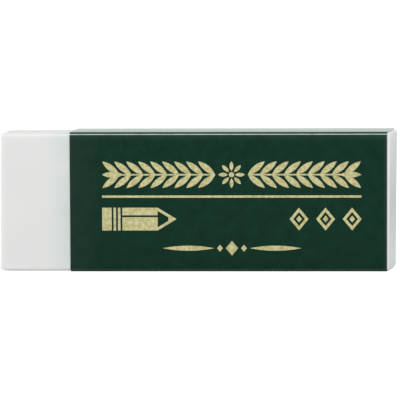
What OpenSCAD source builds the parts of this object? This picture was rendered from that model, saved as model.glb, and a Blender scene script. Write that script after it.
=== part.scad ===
// Vinyl eraser in a printed card sleeve.
// It stands on its long narrow side: X runs along its length, the printed front faces -Y and
// +Z is up. The origin is under the middle of the block, on the surface that the sleeve
// stands on, halfway between the sleeve's front and back faces.

/* [Block] */
// Length of the eraser block
block_length = 62; // [52:0.5:90]
// Height of the block as it stands on its long narrow side
block_width = 21.6; // [19:0.1:30]
// Thickness of the block from front to back
block_thickness = 11.5; // [8:0.5:16]
// Radius of the four long edges
edge_radius = 0.5; // [0.4:0.05:1.2]
// Radius of the soft rim round each end face
rim_radius = 0.3; // [0.1:0.05:0.35]

/* [Sleeve] */
// Length of the block that stays bare at the working end
bare_end = 11.2; // [4:0.1:18]
// How far the block stands out of the sleeve at the other end
back_reveal = 0.5; // [0.1:0.1:3]
// Thickness of the card
card_thickness = 0.18; // [0.16:0.02:0.5]
// Gap between the block and the card round it
fit_clearance = 0.02; // [0.01:0.01:0.2]
// Width of the glue flap, from its fold to its free edge
flap_width = 8; // [4:0.5:12]
// Angle by which each end of the glue flap is cut back
flap_taper = 12; // [0:1:25]
// How far above the bottom fold the raw edge of the back panel stops
seam_inset = 0.4; // [0.2:0.1:2]

/* [Foil print] */
// Thickness of the stamped gold foil
foil_thickness = 0.03; // [0.02:0.01:0.1]
// Bare card on the left of the print
left_margin = 5.1; // [2:0.1:8]
// Bare card on the right of the print
right_margin = 4.1; // [2:0.1:8]
// Height of the garland's stem above the middle of the front panel
garland_rise = 4.3; // [3.8:0.1:5.5]
// Height of the long rule above the middle of the front panel
rule_rise = 0.85; // [-0.2:0.05:1.5]
// Depth of the row of marks below the middle of the front panel
marks_drop = 2.7; // [2.4:0.1:3.6]
// Depth of the divider below the middle of the front panel
divider_drop = 7.3; // [6.6:0.1:8]
// Thickness of the long rule
rule_thickness = 0.35; // [0.2:0.05:0.8]

/* [Garland] */
// Length of one leaf
leaf_length = 3.4; // [2.4:0.1:3.6]
// Width of one leaf at its middle
leaf_width = 0.95; // [0.5:0.05:1.1]
// Angle between a leaf and the stem
leaf_angle = 38; // [28:1:42]
// Distance along the stem from one pair of leaves to the next
leaf_pitch = 1.9; // [1.8:0.1:3]
// Thickness of the stem
stem_thickness = 0.25; // [0.15:0.05:0.4]
// Radius of the rosette in the middle of the garland
rosette_radius = 2.1; // [1.5:0.1:2.3]
// Number of petals on the rosette
rosette_petals = 8; // [6:1:10]

/* [Marks] */
// Length of the pencil mark
pencil_length = 11.8; // [9:0.2:14]
// Height of the pencil mark
pencil_height = 3.6; // [2.4:0.1:3.9]
// Thickness of the line round the pencil's bare wood
pencil_line = 0.5; // [0.3:0.05:0.7]
// Number of lozenges
lozenge_count = 3; // [1:1:4]
// Width of one lozenge
lozenge_width = 3; // [2:0.1:3.6]
// Height of one lozenge
lozenge_height = 3.6; // [2.4:0.1:3.8]
// Bare card between two lozenges
lozenge_gap = 1.2; // [0.4:0.1:2]
// Overall length of the divider
divider_length = 22; // [14:0.5:26]
// Height of the lozenge in the middle of the divider
divider_height = 2.3; // [1.4:0.1:2.6]
// Thickness of the divider's swelled rules at their middle
swell_thickness = 0.8; // [0.4:0.05:1.2]

/* [Hidden] */
$fn = 48;

// The folds follow the block's long edges at the clearance, and the card adds its thickness
fold_inner = edge_radius + fit_clearance;
fold_outer = fold_inner + card_thickness;

// Outside of the sleeve. Its back is two cards thick, where the panel lies over the glue flap
sleeve_length = block_length - bare_end - back_reveal;
sleeve_height = block_width + 2 * (fit_clearance + card_thickness);
sleeve_depth = block_thickness + 2 * fit_clearance + 3 * card_thickness;
sleeve_left = bare_end - block_length / 2;
sleeve_right = sleeve_left + sleeve_length;
front_face = -sleeve_depth / 2;
back_face = sleeve_depth / 2;
flap_face = back_face - card_thickness;

// Middle of the block inside the sleeve
block_y = front_face + card_thickness + fit_clearance + block_thickness / 2;
block_z = sleeve_height / 2;

// Field of the print on the front panel
print_left = sleeve_left + left_margin;
print_right = sleeve_right - right_margin;
print_middle = (print_left + print_right) / 2;
panel_middle = sleeve_height / 2;

// The garland: leaf pairs run outwards from the rosette, as many as there is room for
rosette_gap = 0.5;
leaf_reach = leaf_length * cos(leaf_angle);
garland_half = (print_right - print_left) / 2;
first_pair = rosette_radius + rosette_gap;
pair_count = floor((garland_half - first_pair - leaf_reach) / leaf_pitch) + 1;
stem_end = garland_half - leaf_length;

// Parts of the pencil mark, from its flat end to its point
cap_length = 1.5;
ferrule_band = 0.4;
ferrule_gap = 0.3;
wood_length = 3;
lead_length = 1.3;
facet_gap = 0.3;

// Radius of the two arcs that meet in a pointed leaf of this length and width
function leaf_arc(length, width) = (length * length + width * width) / (4 * width);

// Stands a shape drawn in the cross-section up along the length, from one x to another
module along_x(from, to) {
    translate([from, 0, 0]) rotate([90, 0, 90]) linear_extrude(to - from) children();
}

module rounded_rect(width, height, radius) {
    square([width - 2 * radius, height], center = true);
    square([width, height - 2 * radius], center = true);
    for (x = [-1, 1], y = [-1, 1])
        translate([x * (width / 2 - radius), y * (height / 2 - radius)]) circle(radius);
}

// One long edge of the block: a rod along X whose two ends have a soft rim
module edge_rod() {
    half = block_length / 2;
    rotate([0, 90, 0]) rotate_extrude() {
        translate([0, -half]) square([edge_radius - rim_radius, block_length]);
        translate([0, rim_radius - half]) square([edge_radius, block_length - 2 * rim_radius]);
        for (end = [-1, 1]) translate([edge_radius - rim_radius, end * (half - rim_radius)])
            intersection() {
                circle(rim_radius);
                translate([0, -rim_radius]) square([rim_radius, 2 * rim_radius]);
            }
    }
}

// The soft block: flat sides, round long edges and a soft rim round each end
module eraser_block() {
    rim_x = block_length / 2 - rim_radius;
    rod_y = block_thickness / 2 - edge_radius;
    rod_z = block_width / 2 - edge_radius;
    color("#e6e6e4") translate([0, block_y, block_z]) {
        along_x(-rim_x, rim_x) rounded_rect(block_thickness, block_width, edge_radius);
        along_x(-block_length / 2, block_length / 2)
            rounded_rect(block_thickness - 2 * rim_radius, block_width - 2 * rim_radius,
                         edge_radius - rim_radius);
        for (y = [-1, 1], z = [-1, 1]) translate([0, y * rod_y, z * rod_z]) edge_rod();
        for (end = [-1, 1], side = [-1, 1]) {
            translate([end * rim_x, side * (block_thickness / 2 - rim_radius), 0])
                cylinder(h = 2 * rod_z, r = rim_radius, center = true);
            translate([end * rim_x, 0, side * (block_width / 2 - rim_radius)])
                rotate([90, 0, 0]) cylinder(h = 2 * rod_y, r = rim_radius, center = true);
        }
    }
}

// A quarter turn of card in the cross-section, outside of the corner that it is turned to
module card_fold(y, z, turn) {
    translate([y, z]) rotate(turn) intersection() {
        difference() {
            circle(fold_outer);
            circle(fold_inner);
        }
        square(fold_outer);
    }
}

// A flat stretch of card in the cross-section, from its low corner to its high corner
module card_panel(low, high) {
    polygon([low, [high.x, low.y], high, [low.x, high.y]]);
}

// The fold from the bottom to the glue flap
module flap_fold() {
    card_fold(flap_face - fold_outer, fold_outer, 270);
}

// The back panel, which lies over the flap and ends in a raw edge
module back_panel() {
    card_panel([flap_face, fold_outer + seam_inset], [back_face, sleeve_height - fold_outer]);
}

// The wrapped card: front, bottom, back over the glue flap, and top
module sleeve_section() {
    top = sleeve_height;
    card_panel([front_face, fold_outer], [front_face + card_thickness, top - fold_outer]);
    card_fold(front_face + fold_outer, fold_outer, 180);
    card_panel([front_face + fold_outer, 0], [flap_face - fold_outer, card_thickness]);
    flap_fold();
    card_fold(front_face + fold_outer, top - fold_outer, 90);
    card_panel([front_face + fold_outer, top - card_thickness], [back_face - fold_outer, top]);
    card_fold(back_face - fold_outer, top - fold_outer, 0);
    back_panel();
}

// The flap under the back panel, its two ends cut back so that they stay hidden. It is drawn in
// one cross-section with the fold below it and the panel over it, so the three always join
module glue_flap() {
    slope = tan(flap_taper);
    spare = 1;
    flap_top = fold_outer + flap_width;
    intersection() {
        along_x(sleeve_left, sleeve_right) {
            flap_fold();
            card_panel([flap_face - card_thickness, fold_outer], [flap_face, flap_top]);
            back_panel();
        }
        rotate([90, 0, 0]) linear_extrude(2 * sleeve_depth, center = true) polygon([
            [sleeve_left - (fold_outer + spare) * slope, -spare],
            [sleeve_right + (fold_outer + spare) * slope, -spare],
            [sleeve_right - (flap_width + spare) * slope, flap_top + spare],
            [sleeve_left + (flap_width + spare) * slope, flap_top + spare],
        ]);
    }
}

// One piece of card, folded round the block and glued to itself on the back
module card_sleeve() {
    color("#17362b") {
        along_x(sleeve_left, sleeve_right) sleeve_section();
        glue_flap();
    }
}

// Stamps a flat shape, drawn in x and z, in foil on the front panel
module stamped() {
    translate([0, front_face, 0]) rotate([90, 0, 0]) linear_extrude(foil_thickness) children();
}

// A pointed leaf that lies along +x from the origin
module leaf(length, width) {
    arc = leaf_arc(length, width);
    intersection_for (side = [-1, 1])
        translate([length / 2, side * (arc - width / 2)]) circle(arc, $fn = 96);
}

module lozenge(width, height) {
    polygon([[-width / 2, 0], [0, -height / 2], [width / 2, 0], [0, height / 2]]);
}

module rosette() {
    eye = rosette_radius / 5;
    petal = rosette_radius - 1.4 * eye;
    circle(eye);
    for (petal_index = [0 : rosette_petals - 1])
        rotate(360 * petal_index / rosette_petals) translate([rosette_radius - petal, 0])
            leaf(petal, petal * 0.4);
}

// One half of the garland, along +x: a stem, pairs of leaves and a leaf at its tip
module garland_half() {
    translate([first_pair, -stem_thickness / 2])
        square([stem_end - first_pair + leaf_length / 4, stem_thickness]);
    for (pair = [0 : pair_count - 1], side = [-1, 1])
        translate([first_pair + pair * leaf_pitch, 0]) rotate(side * leaf_angle)
            leaf(leaf_length, leaf_width);
    translate([stem_end, 0]) leaf(leaf_length, leaf_width);
}

module garland() {
    translate([print_middle, panel_middle + garland_rise]) {
        rosette();
        garland_half();
        mirror([1, 0]) garland_half();
    }
}

module long_rule() {
    translate([print_left, panel_middle + rule_rise - rule_thickness / 2])
        square([print_right - print_left, rule_thickness]);
}

// A pencil that points to the right: cap, two ferrule bands, faceted body, wood and lead
module pencil_mark() {
    half = pencil_height / 2;
    body_start = cap_length + 2 * (ferrule_band + ferrule_gap) + ferrule_gap;
    wood_start = pencil_length - wood_length;
    lead_half = half * lead_length / wood_length;
    translate([print_left, panel_middle - marks_drop]) {
        translate([0, -half]) square([cap_length, pencil_height]);
        for (band = [0, 1])
            translate([cap_length + ferrule_gap + band * (ferrule_band + ferrule_gap), -half])
                square([ferrule_band, pencil_height]);
        translate([body_start, -half])
            square([wood_start - body_start, pencil_height * 2 / 3 - facet_gap]);
        translate([body_start, -half + pencil_height * 2 / 3])
            square([wood_start - body_start, pencil_height / 3]);
        difference() {
            polygon([[wood_start, -half], [pencil_length, 0], [wood_start, half]]);
            polygon([
                [wood_start, pencil_line - half],
                [pencil_length - lead_length, pencil_line - lead_half],
                [pencil_length - lead_length, lead_half - pencil_line],
                [wood_start, half - pencil_line],
            ]);
        }
    }
}

// A row of open lozenges that ends flush with the print's right edge
module lozenge_row() {
    pitch = lozenge_width + lozenge_gap;
    for (index = [0 : lozenge_count - 1])
        translate([print_right - lozenge_width / 2 - index * pitch, panel_middle - marks_drop]) {
            difference() {
                lozenge(lozenge_width, lozenge_height);
                lozenge(lozenge_width * 0.62, lozenge_height * 0.62);
            }
            lozenge(lozenge_width * 0.3, lozenge_height * 0.3);
        }
}

// Two swelled rules with a lozenge and two small ones between them
module divider() {
    centre_width = divider_height * 0.85;
    bead = divider_height * 0.4;
    bead_x = centre_width / 2 + bead;
    rule_start = bead_x + bead;
    translate([print_middle, panel_middle - divider_drop]) {
        lozenge(centre_width, divider_height);
        for (side = [0, 1]) mirror([side, 0]) {
            translate([bead_x, 0]) lozenge(bead, bead * 1.2);
            translate([rule_start, 0])
                leaf(divider_length / 2 - rule_start, swell_thickness);
        }
    }
}

// The gold print on the front panel
module foil_print() {
    color("#c4b77d") stamped() {
        garland();
        long_rule();
        pencil_mark();
        lozenge_row();
        divider();
    }
}

eraser_block();
card_sleeve();
foil_print();
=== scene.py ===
"""Vinyl eraser in a printed card sleeve.

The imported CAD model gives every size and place. This file models the block and the sleeve again,
with the soft edges and the cut card that the real ones have, gives every surface its material and
sets up the stage. X runs along the eraser, the printed front faces -Y and +Z is up.
"""
import math

import bmesh
import bpy
from bpy.props import FloatProperty, FloatVectorProperty, IntProperty, PointerProperty
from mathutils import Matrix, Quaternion, Vector


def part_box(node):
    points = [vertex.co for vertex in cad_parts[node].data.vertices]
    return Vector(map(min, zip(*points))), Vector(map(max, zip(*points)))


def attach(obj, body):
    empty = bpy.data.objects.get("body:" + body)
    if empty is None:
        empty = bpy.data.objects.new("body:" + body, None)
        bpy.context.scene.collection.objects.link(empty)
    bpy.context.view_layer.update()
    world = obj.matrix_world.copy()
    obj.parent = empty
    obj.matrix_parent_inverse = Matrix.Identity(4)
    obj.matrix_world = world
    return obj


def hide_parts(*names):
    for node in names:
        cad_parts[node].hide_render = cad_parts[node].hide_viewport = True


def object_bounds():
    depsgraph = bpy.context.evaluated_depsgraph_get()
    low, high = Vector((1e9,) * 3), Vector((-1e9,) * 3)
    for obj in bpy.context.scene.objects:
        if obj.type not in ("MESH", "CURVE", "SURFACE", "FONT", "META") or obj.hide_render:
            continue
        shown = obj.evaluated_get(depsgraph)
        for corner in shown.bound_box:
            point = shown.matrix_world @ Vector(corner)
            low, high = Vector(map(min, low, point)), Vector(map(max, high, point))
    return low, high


bl_info = {
    "name": "Vinyl eraser",
    "version": (1, 0, 0),
    "blender": (4, 5, 0),
    "location": "View3D > Sidebar > Eraser",
    "description": "Models a vinyl eraser in its card sleeve and sets up a plain studio round it",
    "category": "Add Mesh",
}

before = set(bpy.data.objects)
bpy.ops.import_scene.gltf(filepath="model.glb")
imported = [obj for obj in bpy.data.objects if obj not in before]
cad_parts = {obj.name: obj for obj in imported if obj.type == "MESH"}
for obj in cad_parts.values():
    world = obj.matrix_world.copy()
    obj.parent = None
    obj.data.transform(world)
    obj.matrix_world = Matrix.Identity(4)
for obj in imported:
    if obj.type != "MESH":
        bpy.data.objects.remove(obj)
cad_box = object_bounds()

MM = 0.001
SMOOTH_ANGLE = math.radians(40)

# Points as near as TOUCHING count as one place, and doubles as near as MERGED are merged.
TOUCHING = 0.004 * MM
MERGED = 0.001 * MM

# Socket numbers of a Mix node, where several sockets share one name.
FACTOR = 0
COLOUR_A, COLOUR_B, MIXED_COLOUR = 6, 7, 2
NUMBER_A, NUMBER_B, MIXED_NUMBER = 2, 3, 0


def linear(hex_colour):
    """Turns an sRGB hex colour into linear red, green and blue."""
    values = [int(hex_colour[start:start + 2], 16) / 255 for start in (1, 3, 5)]
    return [v / 12.92 if v <= 0.04045 else ((v + 0.055) / 1.055) ** 2.4 for v in values]


def colour_property(name, description, hex_colour):
    return FloatVectorProperty(name=name, description=description, subtype="COLOR", size=3,
                               min=0, max=1, default=linear(hex_colour))


def length_property(name, description, millimetres):
    return FloatProperty(name=name, description=description, unit="LENGTH",
                         min=0, default=millimetres * MM, precision=5)


class EraserBlockSettings(bpy.types.PropertyGroup):
    edge_radius: length_property("Edge radius", "Radius of the four long edges", 0.5)
    rim_radius: length_property("Rim radius", "Radius of the soft rim round each end", 0.3)
    edge_steps: IntProperty(name="Edge steps", description="Facets in each long edge", default=8,
                            min=1, max=32)
    rim_steps: IntProperty(name="Rim steps", description="Facets in each rim", default=5,
                           min=1, max=32)
    cut_spacing: length_property("Cut spacing", "Distance between the cross-cuts in the mesh", 1.5)
    unevenness: length_property("Unevenness", "How far the soft faces sink in at most", 0.03)
    unevenness_size: length_property("Unevenness size", "Width of one soft hollow", 9)
    vinyl: colour_property("Vinyl", "Colour of the soft vinyl", "#E7E7E6")
    vinyl_shade: colour_property("Vinyl shade", "Colour of its duller patches", "#E1E2E1")
    # The two ends carry painted shade with a green tint of reflected light.
    shaded_end: colour_property("Cut end", "Colour of the two knife-cut ends", "#CED5D3")
    # Painted light on the ends, growing towards their top and bottom.
    edge_lit: colour_property("Pressed", "Paler vinyl towards the edges of a cut end", "#E3E8E6")
    # Painted highlight on the rim that stands out of the sleeve.
    rim: colour_property("Rim", "Pale rim that stands out of the sleeve", "#EEF8F4")
    # Painted shade with a green tint on the vinyl beside the sleeve's mouth.
    shaded: colour_property("Rubbed", "Vinyl with ink rubbed on to it by the sleeve", "#D5DEDB")
    end_slant: FloatProperty(name="End slant", description="How far the right end is out of square",
                             subtype="ANGLE", default=math.radians(0.95))
    bare_end_slant: FloatProperty(name="Bare end slant", subtype="ANGLE",
                                  description="How far the bare end is out of square",
                                  default=math.radians(0.4))


class CardSleeveSettings(bpy.types.PropertyGroup):
    thickness: length_property("Card thickness", "Thickness of the card", 0.18)
    fold_radius: length_property("Fold radius", "Outside radius of each fold", 0.7)
    fold_steps: IntProperty(name="Fold steps", description="Facets in each fold", default=10,
                            min=2, max=32)
    flap_width: length_property("Flap width", "Width of the glue flap", 8)
    flap_taper: FloatProperty(name="Flap taper", description="How far each end is cut back",
                              subtype="ANGLE", default=math.radians(12))
    seam_inset: length_property("Seam inset", "Gap below the back panel's raw edge", 0.4)
    glue_line: length_property("Glue line", "Thickness of the glue on the flap", 0.005)
    cut_slant: FloatProperty(name="Cut slant", subtype="ANGLE",
                             description="How far the right cut is out of square",
                             default=math.radians(0.4))
    green: colour_property("Green", "Printed colour of the card", "#15372A")
    green_shade: colour_property("Green shade", "Printed colour where the ink is fuller", "#0F2E22")
    # Painted highlight along the folds, strongest on the top fold.
    fold_highlight: colour_property("Crease", "Ink that a fold has opened up", "#C0D4CE")
    haze: colour_property("Haze", "Faint haze on the varnish, seen along the card", "#D2ECE1")
    # Greyer ink towards the two cuts.
    cut_grey: colour_property("Scuffed", "Ink that is greyed beside a cut edge", "#333B3A")
    board: colour_property("Board", "Bare card, inside and at the cuts", "#E9E8E3")


class FoilPrintSettings(bpy.types.PropertyGroup):
    gold: colour_property("Gold", "Colour of the foil", "#CAC69A")
    gold_shade: colour_property("Gold shade", "Colour of the foil's duller grains", "#ABA471")


class StageSettings(bpy.types.PropertyGroup):
    azimuth: FloatProperty(name="Azimuth", description="Turn of the camera to the right",
                           subtype="ANGLE", default=math.radians(6.45))
    elevation: FloatProperty(name="Elevation", description="Height of the camera as an angle",
                             subtype="ANGLE", default=math.radians(3.45))
    roll: FloatProperty(name="Roll", description="Lean of the camera about its own axis",
                        subtype="ANGLE", default=math.radians(-0.42))
    distance: length_property("Distance", "From the camera to the eraser", 2100)
    frame_width: length_property("Frame width", "Width of the picture at the eraser", 63.18)
    aim_across: length_property("Aim across", "How far right of the middle it aims", 0.15)
    aim_down: length_property("Aim down", "How far below the middle it aims", 0.06)
    floor_size: length_property("Floor size", "Side of the square floor", 8000)
    floor_gap: length_property("Floor gap", "Gap between the eraser and the floor", 0.02)
    far_clip: length_property("Far clip", "How far the camera sees", 100000)
    floor: colour_property("Floor", "Colour of the floor", "#FAFAFA")
    sky_level: FloatProperty(name="Sky level", description="Light from all round",
                             min=0, default=0.7)
    key_place: FloatVectorProperty(name="Key place", description="Middle of the overhead lamp",
                                   subtype="TRANSLATION", size=3,
                                   default=(-130 * MM, -475 * MM, 440 * MM))
    key_size: length_property("Key size", "Side of the square overhead lamp", 500)
    key_power: FloatProperty(name="Key power", description="Power of the overhead lamp",
                             unit="POWER", min=0, default=1.5)


def select_only(piece):
    bpy.ops.object.select_all(action="DESELECT")
    piece.select_set(True)
    bpy.context.view_layer.objects.active = piece


def pick(piece, kind, test):
    """In edit mode, selects just the edges or faces of a piece that pass a test."""
    bpy.ops.mesh.select_all(action="DESELECT")
    bpy.ops.mesh.select_mode(type={"edges": "EDGE", "faces": "FACE"}[kind])
    shape = bmesh.from_edit_mesh(piece.data)
    for part in getattr(shape, kind):
        part.select_set(test(part))
    bmesh.update_edit_mesh(piece.data)


def near(value, target):
    return abs(value - target) < TOUCHING


def place_primitive(add, name, centre, size, rotation=(0, 0, 0)):
    """Adds a primitive of side 1 at its size and place, with its object at the origin."""
    bpy.ops.object.select_all(action="DESELECT")
    add(size=1, location=centre, rotation=rotation)
    piece = bpy.context.object
    piece.name = name
    piece.data.name = name
    piece.scale = size
    bpy.ops.object.transform_apply(location=True, rotation=True, scale=True)
    return piece


def slant_end(piece, end, reach, pivot, angle):
    """Turns one end of a piece about Y, as a cut that runs a little out of square."""
    pick(piece, "edges", lambda edge: all(
        abs(corner.co.x - end) < reach + TOUCHING for corner in edge.verts))
    bpy.ops.transform.rotate(value=-angle, orient_axis="Y", center_override=pivot)


def apply_modifier(piece, kind, **settings):
    select_only(piece)
    modifier = piece.modifiers.new(kind.title(), kind)
    for name, value in settings.items():
        setattr(modifier, name, value)
    bpy.ops.object.modifier_apply(modifier=modifier.name)


def add_node(tree, kind, inputs=None, **settings):
    """Adds one node with its settings. An input is a value, or the output it is linked from."""
    made = tree.nodes.new(kind)
    for name, value in settings.items():
        setattr(made, name, value)
    for name, value in (inputs or {}).items():
        socket = made.inputs[name]
        if isinstance(value, bpy.types.NodeSocket):
            tree.links.new(value, socket)
        else:
            socket.default_value = value
    return made


def new_material(name):
    material = bpy.data.materials.new(name)
    material.use_nodes = True
    material.node_tree.nodes.clear()
    return material


def rgba(colour):
    return (*colour, 1)


def cut_end_colour(tree, settings, spot, low, high):
    """Cut ends: painted shade and green reflection, painted light towards top and bottom."""
    lit_from, lit_to = 0.1, 0.95
    middle, half = (low.z + high.z) / 2, (high.z - low.z) / 2
    # Painted light: grows from the middle of the end towards its top and bottom.
    rise = add_node(tree, "ShaderNodeMath", {0: spot.outputs["Z"], 1: middle},
                    operation="SUBTRACT")
    rise = add_node(tree, "ShaderNodeMath", {0: rise.outputs["Value"]}, operation="ABSOLUTE")
    edge_lit = add_node(tree, "ShaderNodeMapRange", {
        "Value": rise.outputs["Value"],
        "From Min": lit_from * half,
        "From Max": lit_to * half,
    })
    colour = add_node(tree, "ShaderNodeMix", {
        FACTOR: edge_lit.outputs["Result"],
        COLOUR_A: rgba(settings.shaded_end),
        COLOUR_B: rgba(settings.edge_lit),
    }, data_type="RGBA")
    return colour.outputs[MIXED_COLOUR]


def painted_sleeve_shade(tree, spot, patches, mouth):
    """How much painted shade lies on the vinyl: a faint cloud to either side of the sleeve's mouth.
    """
    outer_reach, inner_reach, clear_gap = 4 * MM, 6 * MM, 0.3 * MM
    outside = add_node(tree, "ShaderNodeMapRange", {
        "Value": spot.outputs["X"], "From Min": mouth - outer_reach, "From Max": mouth - clear_gap,
    }, interpolation_type="SMOOTHSTEP")
    inside = add_node(tree, "ShaderNodeMapRange", {
        "Value": spot.outputs["X"], "From Min": mouth + inner_reach, "From Max": mouth,
    }, interpolation_type="SMOOTHSTEP")
    mouth_shade = add_node(tree, "ShaderNodeMath", {
        0: outside.outputs["Result"], 1: inside.outputs["Result"],
    }, operation="MULTIPLY")
    clouded = add_node(tree, "ShaderNodeMapRange", {
        "Value": patches.outputs["Fac"], "From Min": 0.35, "From Max": 0.65, "To Min": 0.4,
    })
    mouth_shade = add_node(tree, "ShaderNodeMath", {
        0: mouth_shade.outputs["Value"], 1: clouded.outputs["Result"],
    }, operation="MULTIPLY")
    return mouth_shade.outputs["Value"]


def filled_vinyl(settings, low, high, mouth, far_cut):
    """Soft PVC filled with chalk, extruded as a slab and cut into blocks.

    The filler makes it an opaque, even white with a milky depth at its edges and almost no gloss.
    The extruded faces keep a skin with shallow dull patches and a fine tooth, which is drawn at
    0.35 mm so that it shows. The knife leaves fine lines on the two ends, drawn 0.3 mm apart. The
    faces beside the sleeve's mouth carry a painted shade with a green tint, and the rim that stands
    out of the sleeve's other end carries a painted highlight. The two ends carry painted shade and
    green reflected light, growing paler towards top and bottom as painted light.
    """
    patch_width = 7 * MM
    tooth_width = 0.35 * MM
    knife_line = (6 * MM, 6 * MM, 0.3 * MM)
    rim_blend = 0.1 * MM
    material = new_material("white_filled_vinyl")
    tree = material.node_tree
    place = add_node(tree, "ShaderNodeTexCoord")
    patches = add_node(tree, "ShaderNodeTexNoise",
                       {"Vector": place.outputs["Object"], "Scale": 1 / patch_width, "Detail": 3})
    tooth = add_node(tree, "ShaderNodeTexNoise",
                     {"Vector": place.outputs["Object"], "Scale": 1 / tooth_width, "Detail": 4})
    stretch = add_node(tree, "ShaderNodeMapping", {
        "Vector": place.outputs["Object"],
        "Scale": tuple(1 / width for width in knife_line),
    })
    knife = add_node(tree, "ShaderNodeTexNoise",
                     {"Vector": stretch.outputs["Vector"], "Scale": 1, "Detail": 3})
    facing = add_node(tree, "ShaderNodeSeparateXYZ", {"Vector": place.outputs["Normal"]})
    along = add_node(tree, "ShaderNodeMath", {0: facing.outputs["X"]}, operation="ABSOLUTE")
    on_end = add_node(tree, "ShaderNodeMapRange", {
        "Value": along.outputs["Value"], "From Min": 0.9, "From Max": 0.99,
    })
    spot = add_node(tree, "ShaderNodeSeparateXYZ", {"Vector": place.outputs["Object"]})
    # Painted highlight along the rim beyond the sleeve's far cut.
    rim_lit = add_node(tree, "ShaderNodeMapRange", {
        "Value": spot.outputs["X"], "From Min": far_cut - rim_blend, "From Max": far_cut,
    })
    colour = add_node(tree, "ShaderNodeMix", {
        FACTOR: patches.outputs["Fac"],
        COLOUR_A: rgba(settings.vinyl),
        COLOUR_B: rgba(settings.vinyl_shade),
    }, data_type="RGBA")
    colour = add_node(tree, "ShaderNodeMix", {
        FACTOR: rim_lit.outputs["Result"],
        COLOUR_A: colour.outputs[MIXED_COLOUR],
        COLOUR_B: rgba(settings.rim),
    }, data_type="RGBA")
    # The ends get the painted shade, green reflection and painted light of cut_end_colour.
    colour = add_node(tree, "ShaderNodeMix", {
        FACTOR: on_end.outputs["Result"],
        COLOUR_A: colour.outputs[MIXED_COLOUR],
        COLOUR_B: cut_end_colour(tree, settings, spot, low, high),
    }, data_type="RGBA")
    # Painted shade beside the sleeve's mouth.
    colour = add_node(tree, "ShaderNodeMix", {
        FACTOR: painted_sleeve_shade(tree, spot, patches, mouth),
        COLOUR_A: colour.outputs[MIXED_COLOUR],
        COLOUR_B: rgba(settings.shaded),
    }, data_type="RGBA")
    relief = add_node(tree, "ShaderNodeMix", {
        FACTOR: on_end.outputs["Result"],
        NUMBER_A: tooth.outputs["Fac"],
        NUMBER_B: knife.outputs["Fac"],
    }, data_type="FLOAT")
    bump = add_node(tree, "ShaderNodeBump", {
        "Height": relief.outputs[MIXED_NUMBER], "Strength": 0.35, "Distance": 0.03 * MM,
    })
    dullness = add_node(tree, "ShaderNodeMapRange", {
        "Value": patches.outputs["Fac"], "To Min": 0.46, "To Max": 0.58,
    })
    shader = add_node(tree, "ShaderNodeBsdfPrincipled", {
        "Base Color": colour.outputs[MIXED_COLOUR],
        "Roughness": dullness.outputs["Result"],
        "Normal": bump.outputs["Normal"],
        "IOR": 1.53,
        "Specular IOR Level": 0.4,
        "Subsurface Weight": 1,
        "Subsurface Radius": (1.0, 0.97, 0.94),
        "Subsurface Scale": 0.9 * MM,
    })
    add_node(tree, "ShaderNodeOutputMaterial", {"Surface": shader.outputs["BSDF"]})
    return material


def greyed_ink(tree, spot, low, high):
    """How far the ink is greyed: in a soft band at the left cut and in a thin line at the right."""
    left_reach = 5 * MM
    right_reach, right_edge = 0.6 * MM, 0.35 * MM
    by_left = add_node(tree, "ShaderNodeMapRange", {
        "Value": spot.outputs["X"],
        "From Min": low.x + left_reach,
        "From Max": low.x,
        "To Max": 0.28,
    })
    by_right = add_node(tree, "ShaderNodeMapRange", {
        "Value": spot.outputs["X"],
        "From Min": high.x - right_reach,
        "From Max": high.x - right_edge,
        "To Max": 0.55,
    })
    by_cut = add_node(tree, "ShaderNodeMath", {
        0: by_left.outputs["Result"], 1: by_right.outputs["Result"],
    }, operation="MAXIMUM")
    return by_cut.outputs["Value"]


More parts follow.
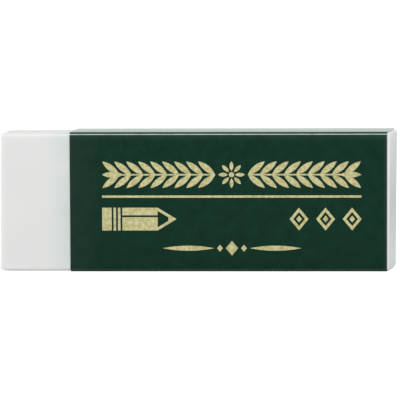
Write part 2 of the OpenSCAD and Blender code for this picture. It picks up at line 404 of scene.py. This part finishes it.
def painted_fold_light(tree, place, spot, high):
    """How much painted highlight lies on the folds: a thin line along each, broken by the fibres.

    The line lies part of the way round the fold and hardly shows on the two lower folds. The
    fibres are drawn 0.4 mm wide so that they show. Beside the top fold a trace of painted
    reflection makes the ink paler.
    """
    line_angle = math.radians(31)
    fibre = (1.6 * MM, 0.4 * MM, 0.4 * MM)
    reflection_start, reflection_end = 1.5 * MM, 0.6 * MM
    facing = add_node(tree, "ShaderNodeSeparateXYZ", {"Vector": place.outputs["Normal"]})
    height = add_node(tree, "ShaderNodeMath", {0: facing.outputs["Z"]}, operation="ABSOLUTE")
    from_line = add_node(tree, "ShaderNodeMath", {
        0: height.outputs["Value"], 1: math.sin(line_angle),
    }, operation="SUBTRACT")
    from_line = add_node(tree, "ShaderNodeMath", {0: from_line.outputs["Value"]},
                         operation="ABSOLUTE")
    # Painted highlight: a line at a set tilt round each fold.
    lit = add_node(tree, "ShaderNodeMapRange", {
        "Value": from_line.outputs["Value"], "From Min": 0.145, "From Max": 0.04,
    })
    upper = add_node(tree, "ShaderNodeMapRange", {
        "Value": facing.outputs["Z"], "From Min": -0.2, "From Max": 0.3,
        "To Min": 0.08, "To Max": 1,
    })
    stretch = add_node(tree, "ShaderNodeMapping", {
        "Vector": place.outputs["Object"],
        "Scale": tuple(1 / width for width in fibre),
    })
    fibres = add_node(tree, "ShaderNodeTexNoise",
                      {"Vector": stretch.outputs["Vector"], "Scale": 1, "Detail": 4})
    broken = add_node(tree, "ShaderNodeMapRange", {
        "Value": fibres.outputs["Fac"], "From Min": 0.3, "From Max": 0.6,
        "To Min": 0.75, "To Max": 1,
    })
    painted_line = add_node(tree, "ShaderNodeMath", {
        0: lit.outputs["Result"], 1: upper.outputs["Result"],
    }, operation="MULTIPLY")
    painted_line = add_node(tree, "ShaderNodeMath", {
        0: painted_line.outputs["Value"], 1: broken.outputs["Result"],
    }, operation="MULTIPLY")
    # Painted reflection of light on the front just below the top fold.
    fold_reflection = add_node(tree, "ShaderNodeMapRange", {
        "Value": spot.outputs["Z"],
        "From Min": high.z - reflection_start,
        "From Max": high.z - reflection_end,
        "To Max": 0.015,
    }, interpolation_type="SMOOTHSTEP")
    off_top = add_node(tree, "ShaderNodeMapRange", {
        "Value": height.outputs["Value"], "From Min": 0.8, "From Max": 0.5,
    })
    painted_line = add_node(tree, "ShaderNodeMath", {
        0: fold_reflection.outputs["Result"], 1: off_top.outputs["Result"], 2: painted_line.outputs["Value"],
    }, operation="MULTIPLY_ADD", use_clamp=True)
    return painted_line.outputs["Value"]


def printed_card(settings, low, high):
    """Thin coated board, offset printed in a solid dark green and sealed with a satin varnish.

    The solid ink reads as one deep colour with a faint print mottle in it. The varnish lies almost
    flat from the front and turns bright at a grazing look, and the board's grain under it is drawn
    at 0.5 mm so that it shows. The folds carry a painted highlight, and the ink is greyer beside
    the two cuts.
    """
    mottle_width = 2 * MM
    grain_width = 0.5 * MM
    material = new_material("green_printed_card")
    tree = material.node_tree
    place = add_node(tree, "ShaderNodeTexCoord")
    spot = add_node(tree, "ShaderNodeSeparateXYZ", {"Vector": place.outputs["Object"]})
    cloud = add_node(tree, "ShaderNodeTexNoise", {
        "Vector": place.outputs["Object"],
        "Scale": 1 / mottle_width,
        "Detail": 5,
        "Roughness": 0.65,
    })
    mottle = add_node(tree, "ShaderNodeMapRange", {
        "Value": cloud.outputs["Fac"], "From Min": 0.32, "From Max": 0.68,
    })
    colour = add_node(tree, "ShaderNodeMix", {
        FACTOR: mottle.outputs["Result"],
        COLOUR_A: rgba(settings.green),
        COLOUR_B: rgba(settings.green_shade),
    }, data_type="RGBA")
    colour = add_node(tree, "ShaderNodeMix", {
        FACTOR: greyed_ink(tree, spot, low, high),
        COLOUR_A: colour.outputs[MIXED_COLOUR],
        COLOUR_B: rgba(settings.cut_grey),
    }, data_type="RGBA")
    # Painted highlight along the folds.
    colour = add_node(tree, "ShaderNodeMix", {
        FACTOR: painted_fold_light(tree, place, spot, high),
        COLOUR_A: colour.outputs[MIXED_COLOUR],
        COLOUR_B: rgba(settings.fold_highlight),
    }, data_type="RGBA")
    grain = add_node(tree, "ShaderNodeTexNoise",
                     {"Vector": place.outputs["Object"], "Scale": 1 / grain_width, "Detail": 3})
    bump = add_node(tree, "ShaderNodeBump", {
        "Height": grain.outputs["Fac"], "Strength": 0.2, "Distance": 0.002 * MM,
    })
    satin = add_node(tree, "ShaderNodeMapRange", {
        "Value": cloud.outputs["Fac"], "To Min": 0.1, "To Max": 0.18,
    })
    shader = add_node(tree, "ShaderNodeBsdfPrincipled", {
        "Base Color": colour.outputs[MIXED_COLOUR],
        "Roughness": satin.outputs["Result"],
        "Normal": bump.outputs["Normal"],
        "IOR": 1.5,
        "Specular IOR Level": 0.04,
        "Sheen Weight": 0.8,
        "Sheen Roughness": 0.25,
        "Sheen Tint": rgba(settings.haze),
    })
    add_node(tree, "ShaderNodeOutputMaterial", {"Surface": shader.outputs["BSDF"]})
    return material


def bare_board(settings):
    """The uncoated side of the board and its knife-cut edges.

    Pressed bleached pulp: a dull off-white with fibres lying in it, drawn as clumps of 0.4 mm.
    """
    clump_width = 0.4 * MM
    shade = 0.86
    material = new_material("bare_board")
    tree = material.node_tree
    place = add_node(tree, "ShaderNodeTexCoord")
    fibres = add_node(tree, "ShaderNodeTexNoise",
                      {"Vector": place.outputs["Object"], "Scale": 1 / clump_width, "Detail": 5})
    greyed = [part * shade for part in settings.board]
    colour = add_node(tree, "ShaderNodeMix", {
        FACTOR: fibres.outputs["Fac"],
        COLOUR_A: rgba(settings.board),
        COLOUR_B: rgba(greyed),
    }, data_type="RGBA")
    bump = add_node(tree, "ShaderNodeBump", {
        "Height": fibres.outputs["Fac"], "Strength": 0.4, "Distance": 0.02 * MM,
    })
    shader = add_node(tree, "ShaderNodeBsdfPrincipled", {
        "Base Color": colour.outputs[MIXED_COLOUR],
        "Roughness": 0.9,
        "Normal": bump.outputs["Normal"],
        "IOR": 1.5,
        "Specular IOR Level": 0.2,
    })
    add_node(tree, "ShaderNodeOutputMaterial", {"Surface": shader.outputs["BSDF"]})
    return material


def stamped_foil(settings):
    """Hot-stamped gold foil: lacquer-tinted aluminium stamped on to the card.

    It reads as a pale satin gold. The board's grain under it breaks it into paler and duller
    grains, drawn at 0.5 mm, which is as fine as the picture can show.
    """
    grain_width = 0.5 * MM
    material = new_material("hot_stamped_gold_foil")
    tree = material.node_tree
    place = add_node(tree, "ShaderNodeTexCoord")
    grain = add_node(tree, "ShaderNodeTexNoise",
                     {"Vector": place.outputs["Object"], "Scale": 1 / grain_width, "Detail": 4})
    spread = add_node(tree, "ShaderNodeMapRange", {
        "Value": grain.outputs["Fac"], "From Min": 0.35, "From Max": 0.65,
    })
    colour = add_node(tree, "ShaderNodeMix", {
        FACTOR: spread.outputs["Result"],
        COLOUR_A: rgba(settings.gold),
        COLOUR_B: rgba(settings.gold_shade),
    }, data_type="RGBA")
    satin = add_node(tree, "ShaderNodeMapRange", {
        "Value": grain.outputs["Fac"], "To Min": 0.3, "To Max": 0.5,
    })
    bump = add_node(tree, "ShaderNodeBump", {
        "Height": grain.outputs["Fac"], "Strength": 0.3, "Distance": 0.01 * MM,
    })
    shader = add_node(tree, "ShaderNodeBsdfPrincipled", {
        "Base Color": colour.outputs[MIXED_COLOUR],
        "Metallic": 1,
        "Roughness": satin.outputs["Result"],
        "Normal": bump.outputs["Normal"],
    })
    add_node(tree, "ShaderNodeOutputMaterial", {"Surface": shader.outputs["BSDF"]})
    return material


class ERASER_OT_add_block(bpy.types.Operator):
    """Models the soft vinyl block on its CAD solid"""
    bl_idname = "eraser.add_block"
    bl_label = "Add the vinyl block"

    def execute(self, context):
        settings = context.scene.eraser_block
        low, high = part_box("eraser_block")
        block = place_primitive(bpy.ops.mesh.primitive_cube_add, "vinyl_block",
                                (low + high) / 2, high - low)
        bpy.ops.object.mode_set(mode="EDIT")
        pick(block, "edges", lambda edge: not near(edge.verts[0].co.x, edge.verts[1].co.x))
        bpy.ops.mesh.bevel(offset=settings.edge_radius, segments=settings.edge_steps,
                           affect="EDGES")
        pick(block, "edges", lambda edge: any(
            all(near(corner.co.x, end) for corner in edge.verts) for end in (low.x, high.x)))
        bpy.ops.mesh.bevel(offset=settings.rim_radius, segments=settings.rim_steps,
                           affect="EDGES")
        for axis in range(3):
            side = Vector((0, 0, 0))
            side[axis] = 1
            inset = settings.edge_radius if axis else settings.rim_radius
            first, last = low[axis] + inset, high[axis] - inset
            count = max(1, round((last - first) / settings.cut_spacing))
            for index in range(1, count):
                point = (low + high) / 2
                point[axis] = first + (last - first) * index / count
                bpy.ops.mesh.select_all(action="SELECT")
                bpy.ops.mesh.bisect(plane_co=point, plane_no=side)
        middle = (low + high) / 2
        slant_end(block, low.x, settings.rim_radius, (low.x, middle.y, low.z),
                  settings.bare_end_slant)
        slant_end(block, high.x, settings.rim_radius, (high.x, middle.y, high.z),
                  settings.end_slant)
        bpy.ops.object.mode_set(mode="OBJECT")
        hollows = bpy.data.textures.new("hollows", "CLOUDS")
        hollows.noise_scale = settings.unevenness_size
        apply_modifier(block, "DISPLACE", texture=hollows, texture_coords="LOCAL",
                       mid_level=1, strength=settings.unevenness)
        bpy.ops.object.shade_smooth_by_angle(angle=SMOOTH_ANGLE)
        apply_modifier(block, "WEIGHTED_NORMAL", weight=100, keep_sharp=True)
        mouth, far_cut = (corner.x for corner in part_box("card_sleeve"))
        block.data.materials.append(filled_vinyl(settings, low, high, mouth, far_cut))
        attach(block, "block")
        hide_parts("eraser_block")
        return {"FINISHED"}


class ERASER_OT_add_sleeve(bpy.types.Operator):
    """Folds the card sleeve round the block, from one printed panel to the next"""
    bl_idname = "eraser.add_sleeve"
    bl_label = "Add the card sleeve"

    def execute(self, context):
        settings = context.scene.card_sleeve
        low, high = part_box("card_sleeve")
        fold = settings.fold_radius
        middle = (low + high) / 2
        sleeve = place_primitive(bpy.ops.mesh.primitive_plane_add, "card_wrap",
                                 (middle.x, low.y, middle.z),
                                 (high.x - low.x, high.z - low.z - 2 * fold, 1),
                                 (math.pi / 2, 0, 0))
        flap_face = high.y - settings.thickness - settings.glue_line

        def pick_end(y, z):
            pick(sleeve, "edges", lambda edge: all(
                near(corner.co.y, y) and near(corner.co.z, z) for corner in edge.verts))

        def turn(y, z, angle):
            bpy.ops.mesh.spin(steps=settings.fold_steps, angle=math.radians(angle),
                              center=(middle.x, y, z), axis=(1, 0, 0))

        def run_on(y, z):
            bpy.ops.mesh.extrude_edges_move(TRANSFORM_OT_translate={"value": (0, y, z)})

        bpy.ops.object.mode_set(mode="EDIT")
        pick_end(low.y, low.z + fold)
        turn(low.y + fold, low.z + fold, -90)
        pick_end(low.y + fold, low.z)
        run_on(flap_face - low.y - 2 * fold, 0)
        turn(flap_face - fold, low.z + fold, -90)
        pick_end(flap_face, low.z + fold)
        run_on(0, settings.flap_width)
        shorter = 2 * settings.flap_width * math.tan(settings.flap_taper)
        bpy.ops.transform.resize(value=(1 - shorter / (high.x - low.x), 1, 1),
                                 center_override=middle)
        pick_end(low.y, high.z - fold)
        turn(low.y + fold, high.z - fold, 90)
        pick_end(low.y + fold, high.z)
        run_on(high.y - low.y - 2 * fold, 0)
        turn(high.y - fold, high.z - fold, 90)
        pick_end(high.y, high.z - fold)
        run_on(0, low.z + 2 * fold + settings.seam_inset - high.z)
        bpy.ops.mesh.select_all(action="SELECT")
        bpy.ops.mesh.remove_doubles(threshold=MERGED)
        bpy.ops.mesh.normals_make_consistent(inside=False)
        front = next(face for face in bmesh.from_edit_mesh(sleeve.data).faces
                     if all(near(corner.co.y, low.y) for corner in face.verts))
        if front.normal.y > 0:
            bpy.ops.mesh.flip_normals()
        slant_end(sleeve, high.x, 0, (high.x, middle.y, high.z), settings.cut_slant)
        bpy.ops.object.mode_set(mode="OBJECT")
        for material in (printed_card(settings, low, high), bare_board(settings)):
            sleeve.data.materials.append(material)
        apply_modifier(sleeve, "SOLIDIFY", thickness=settings.thickness, offset=-1,
                       use_even_offset=True, material_offset=1, material_offset_rim=1)
        bpy.ops.object.shade_smooth_by_angle(angle=SMOOTH_ANGLE)
        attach(sleeve, "sleeve")
        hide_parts("card_sleeve")
        return {"FINISHED"}


class ERASER_OT_dress_print(bpy.types.Operator):
    """Gives the stamped print its gold foil"""
    bl_idname = "eraser.dress_print"
    bl_label = "Dress the foil print"

    def execute(self, context):
        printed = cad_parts["foil_print"]
        foil = stamped_foil(context.scene.foil_print)
        for place in printed.material_slots:
            place.material = foil
        return {"FINISHED"}


class ERASER_OT_add_stage(bpy.types.Operator):
    """Sets up the floor, the light from all round, the overhead lamp and the camera"""
    bl_idname = "eraser.add_stage"
    bl_label = "Add the stage"

    def execute(self, context):
        settings = context.scene.eraser_stage
        low, high = cad_box
        middle = (low + high) / 2
        floor = place_primitive(bpy.ops.mesh.primitive_plane_add, "floor",
                                (0, 0, -settings.floor_gap), (settings.floor_size,) * 3)
        floor.data.materials.append(self.seamless_paper(settings))
        self.add_sky(context, settings)
        self.add_overhead_lamp(settings)

        turn, rise = settings.azimuth, settings.elevation
        back = Vector((math.sin(turn) * math.cos(rise), -math.cos(turn) * math.cos(rise),
                       math.sin(rise)))
        aim = middle + Vector((math.cos(turn), math.sin(turn), 0)) * settings.aim_across
        aim.z -= settings.aim_down
        bpy.ops.object.camera_add(location=aim + back * settings.distance)
        camera = bpy.context.object
        camera.name = "camera"
        level = (-back).to_track_quat("-Z", "Y")
        camera.rotation_euler = (level @ Quaternion((0, 0, 1), settings.roll)).to_euler()
        camera.data.lens = camera.data.sensor_width * settings.distance / settings.frame_width
        camera.data.clip_end = settings.far_clip
        context.scene.camera = camera
        context.scene.view_settings.view_transform = "Standard"
        return {"FINISHED"}

    def seen_white(self, tree):
        """Gives two outputs: 1 for camera rays, and 1 for camera, glossy and clear rays."""
        path = add_node(tree, "ShaderNodeLightPath")
        total = path.outputs["Is Camera Ray"]
        for name in ("Is Glossy Ray", "Is Transmission Ray"):
            total = add_node(tree, "ShaderNodeMath", {0: total, 1: path.outputs[name]},
                             operation="MAXIMUM").outputs["Value"]
        return path.outputs["Is Camera Ray"], total

    def seamless_paper(self, settings):
        """Seamless white background paper: uncoated, with a soft tooth, drawn at 1 mm.

        Straight and mirrored looks at it are lifted to white, and its shadow is kept.
        """
        tooth_width = 1 * MM
        straight_lift, mirrored_lift = 0.5, 0.15
        material = new_material("background_paper")
        tree = material.node_tree
        camera_ray, seen = self.seen_white(tree)
        place = add_node(tree, "ShaderNodeTexCoord")
        tooth = add_node(tree, "ShaderNodeTexNoise",
                         {"Vector": place.outputs["Object"], "Scale": 1 / tooth_width})
        bump = add_node(tree, "ShaderNodeBump", {
            "Height": tooth.outputs["Fac"], "Strength": 0.1, "Distance": 0.02 * MM,
        })
        lift = add_node(tree, "ShaderNodeMath", {0: camera_ray, 1: straight_lift},
                        operation="MULTIPLY")
        lift = add_node(tree, "ShaderNodeMath",
                        {0: seen, 1: mirrored_lift, 2: lift.outputs["Value"]},
                        operation="MULTIPLY_ADD")
        shader = add_node(tree, "ShaderNodeBsdfPrincipled", {
            "Base Color": rgba(settings.floor),
            "Roughness": 1,
            "Specular IOR Level": 0,
            "Normal": bump.outputs["Normal"],
            "Emission Color": (1, 1, 1, 1),
            "Emission Strength": lift.outputs["Value"],
        })
        add_node(tree, "ShaderNodeOutputMaterial", {"Surface": shader.outputs["BSDF"]})
        return material

    def add_sky(self, context, settings):
        """White to straight and mirrored looks, and a little dimmer as light from all round."""
        world = bpy.data.worlds.new("soft_studio")
        world.use_nodes = True
        tree = world.node_tree
        tree.nodes.clear()
        seen = self.seen_white(tree)[1]
        level = add_node(tree, "ShaderNodeMapRange",
                         {"Value": seen, "To Min": settings.sky_level, "To Max": 1})
        light = add_node(tree, "ShaderNodeBackground",
                         {"Color": (1, 1, 1, 1), "Strength": level.outputs["Result"]})
        add_node(tree, "ShaderNodeOutputWorld", {"Surface": light.outputs["Background"]})
        context.scene.world = world

    def add_overhead_lamp(self, settings):
        place = Vector(settings.key_place)
        bpy.ops.object.light_add(type="AREA", location=place)
        lamp = bpy.context.object
        lamp.name = "overhead_lamp"
        lamp.rotation_euler = (-place).to_track_quat("-Z", "Y").to_euler()
        lamp.data.shape = "SQUARE"
        lamp.data.size = settings.key_size
        lamp.data.energy = settings.key_power


class VIEW3D_PT_eraser(bpy.types.Panel):
    """Lists the eraser's pieces and its stage, each with its sizes and colours"""
    bl_label = "Vinyl eraser"
    bl_space_type = "VIEW_3D"
    bl_region_type = "UI"
    bl_category = "Eraser"

    def draw(self, context):
        for name, (group, operator) in PARTS.items():
            box = self.layout.box()
            box.operator(operator.bl_idname)
            settings = getattr(context.scene, name)
            for field in group.__annotations__:
                box.prop(settings, field)


PARTS = {
    "eraser_block": (EraserBlockSettings, ERASER_OT_add_block),
    "card_sleeve": (CardSleeveSettings, ERASER_OT_add_sleeve),
    "foil_print": (FoilPrintSettings, ERASER_OT_dress_print),
    "eraser_stage": (StageSettings, ERASER_OT_add_stage),
}


def register():
    for name, (group, operator) in PARTS.items():
        bpy.utils.register_class(group)
        bpy.utils.register_class(operator)
        setattr(bpy.types.Scene, name, PointerProperty(type=group))
    bpy.utils.register_class(VIEW3D_PT_eraser)


def unregister():
    bpy.utils.unregister_class(VIEW3D_PT_eraser)
    for name, (group, operator) in PARTS.items():
        delattr(bpy.types.Scene, name)
        bpy.utils.unregister_class(operator)
        bpy.utils.unregister_class(group)


def main():
    register()
    bpy.ops.eraser.add_block()
    bpy.ops.eraser.add_sleeve()
    bpy.ops.eraser.dress_print()
    bpy.ops.eraser.add_stage()


if __name__ == "__main__":
    main()
